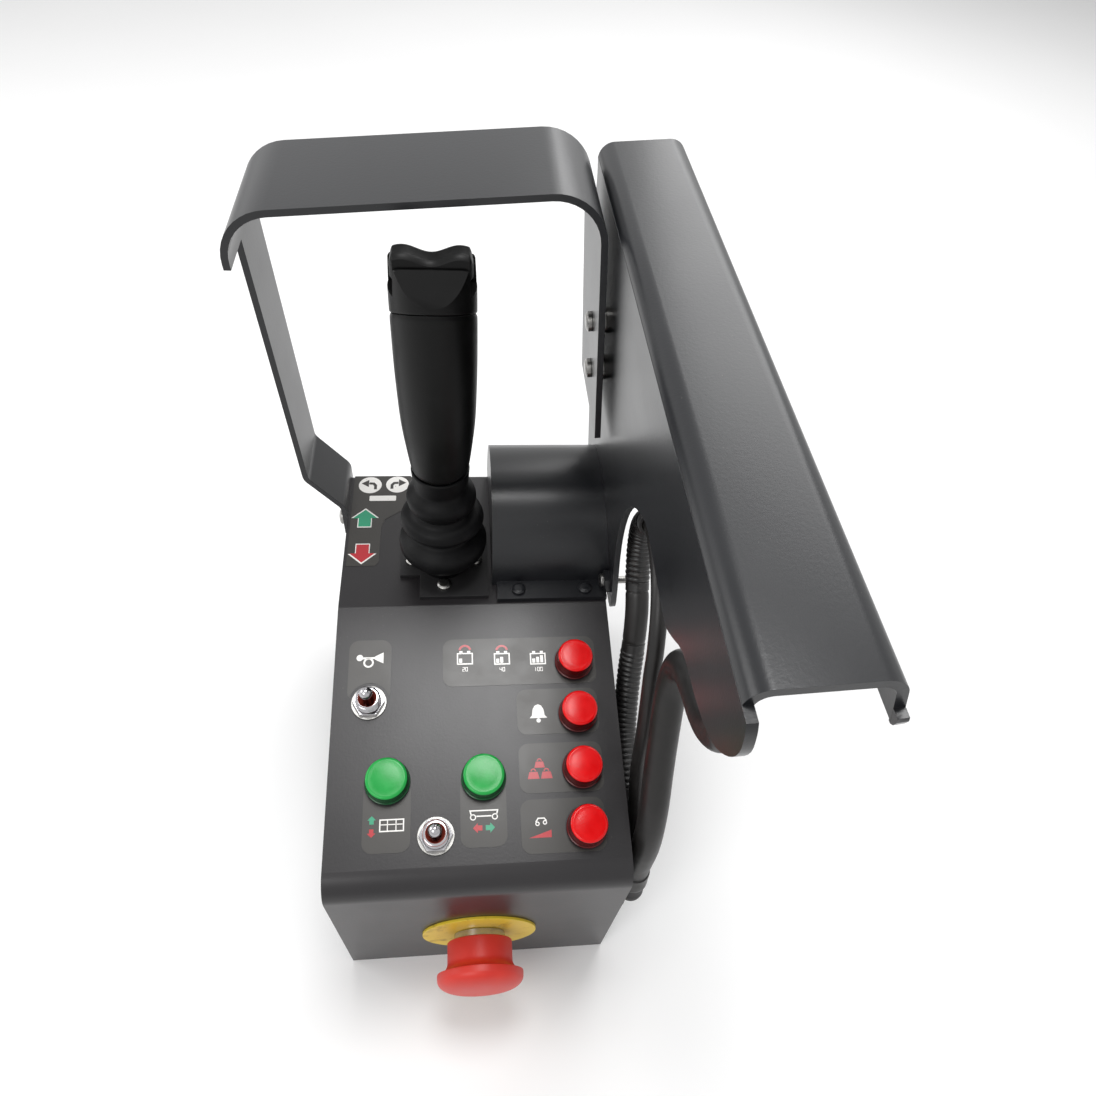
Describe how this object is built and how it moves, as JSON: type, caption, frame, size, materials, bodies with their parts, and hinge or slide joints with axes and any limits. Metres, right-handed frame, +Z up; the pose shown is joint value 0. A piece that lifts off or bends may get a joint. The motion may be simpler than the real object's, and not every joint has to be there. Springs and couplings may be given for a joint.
{
  "type": "scissor lift control box",
  "caption": "Platform control box for a scissor lift: sheet steel case with lamps, toggles, a stop button and a guarded joystick, hung on a rail by a folded hook.",
  "frame": {"origin": "the middle of the flat bottom that the box stands on", "axes": "+X to the operator's right, +Y away from the operator towards the rail side's back, +Z up"},
  "size_m": [0.2017, 0.2975, 0.3705],
  "materials": {
    "box_paint": "satin powder coat with a fine orange peel",
    "bracket_paint": "satin powder coat, worn on the edges",
    "zinc_steel": "bright zinc plate",
    "chrome": "polished plating",
    "steel": "machined steel",
    "disc_yellow": "smooth plastic disc",
    "stop_red": "moulded red plastic",
    "lens_red": "clear red lens",
    "lens_green": "clear green lens",
    "lamp_black": "black moulding",
    "grip_plastic": "fine grained moulding",
    "switch_red": "phenolic moulding",
    "hose_rubber": "smooth extruded rubber",
    "conduit_plastic": "ribbed nylon",
    "boot_rubber": "moulded rubber",
    "gasket_rubber": "soft sheet rubber",
    "contact_green": "moulded block",
    "board_green": "lacquered board",
    "brass": "turned brass"
  },
  "bodies": {
    "box": {"box_shell": "box_paint", "base_plate": "box_paint", "base_gasket": "gasket_rubber", "base_screws": "zinc_steel", "stop_disc": "disc_yellow", "stop_bezel": "chrome", "stop_nut": "steel", "contact_block": "contact_green", "horn_switch": "switch_red", "mode_switch": "switch_red", "toggle_nuts": "chrome", "toggle_washers": "zinc_steel", "lamp_nuts": "lamp_black", "joystick_plate": "lamp_black", "joystick_screws": "zinc_steel", "gimbal_housing": "lamp_black", "boot": "boot_rubber", "drum": "bracket_paint", "drum_screws": "zinc_steel", "rail_hook": "bracket_paint", "guard_bar": "bracket_paint", "guard_screws": "zinc_steel", "foot_screws": "zinc_steel", "guard_spacers": "zinc_steel", "elbow_glands": "lamp_black", "gland_nuts": "lamp_black", "lead_cable": "hose_rubber", "conduit_lower": "conduit_plastic", "conduit_sleeve": "conduit_plastic", "conduit_upper": "conduit_plastic", "feed_hose": "hose_rubber", "feed_clip": "zinc_steel", "feed_plug": "lamp_black", "circuit_board": "board_green", "standoffs": "brass", "terminal_block": "contact_green", "battery_lamp_lens": "lens_red", "battery_lamp_body": "lamp_black", "warning_lamp_lens": "lens_red", "warning_lamp_body": "lamp_black", "overload_lamp_lens": "lens_red", "overload_lamp_body": "lamp_black", "tilt_lamp_lens": "lens_red", "tilt_lamp_body": "lamp_black", "lift_lamp_lens": "lens_green", "lift_lamp_body": "lamp_black", "drive_lamp_lens": "lens_green", "drive_lamp_body": "lamp_black"},
    "stop_stem": {"stop_plunger": "steel"},
    "stop_head": {"stop_button": "stop_red"},
    "horn_toggle": {"horn_lever": "chrome"},
    "mode_toggle": {"mode_lever": "chrome"},
    "stick": {"stick_axle": "steel", "stick_shaft": "steel", "grip_body": "grip_plastic", "grip_head": "grip_plastic", "rocker_pin": "steel", "trigger_pin": "steel"},
    "rocker": {"steering_rocker": "grip_plastic"},
    "trigger": {"enable_trigger": "grip_plastic"}
  },
  "joints": [
    {"name": "stop_push", "type": "slide", "parent": "box", "child": "stop_stem", "axis": [0, 0.9984, 0.0567], "range_m": [0, 0.0038], "stiffness_N_per_m": 900, "springref_m": -0.004},
    {"name": "stop_twist", "type": "hinge", "parent": "stop_stem", "child": "stop_head", "pos_m": [0, -0.1201, 0.0545], "axis": [0, 0.9984, 0.0567], "range_deg": [0, 30], "stiffness_Nm_per_rad": 0.02, "springref_deg": -5.73},
    {"name": "horn_tilt", "type": "hinge", "parent": "box", "child": "horn_toggle", "pos_m": [-0.0539, -0.03638, 0.15266], "axis": [1, 0, 0], "range_deg": [-14, 14], "stiffness_Nm_per_rad": 0.02},
    {"name": "mode_tilt", "type": "hinge", "parent": "box", "child": "mode_toggle", "pos_m": [-0.0203, -0.10058, 0.13873], "axis": [1, 0, 0], "range_deg": [-14, 14]},
    {"name": "stick_tilt", "type": "hinge", "parent": "box", "child": "stick", "pos_m": [-0.0162, 0.0449, 0.152], "axis": [1, 0, 0], "range_deg": [-18, 18], "stiffness_Nm_per_rad": 2, "deforming": ["boot"]},
    {"name": "steering_tilt", "type": "hinge", "parent": "stick", "child": "rocker", "pos_m": [-0.0162, 0.0417, 0.345], "axis": [0, 1, 0], "range_deg": [-8, 8], "stiffness_Nm_per_rad": 0.03},
    {"name": "enable_squeeze", "type": "hinge", "parent": "stick", "child": "trigger", "pos_m": [-0.0162, 0.0579, 0.298], "axis": [1, 0, 0], "range_deg": [-7, 0], "stiffness_Nm_per_rad": 0.1, "springref_deg": 2.86}
  ]
}
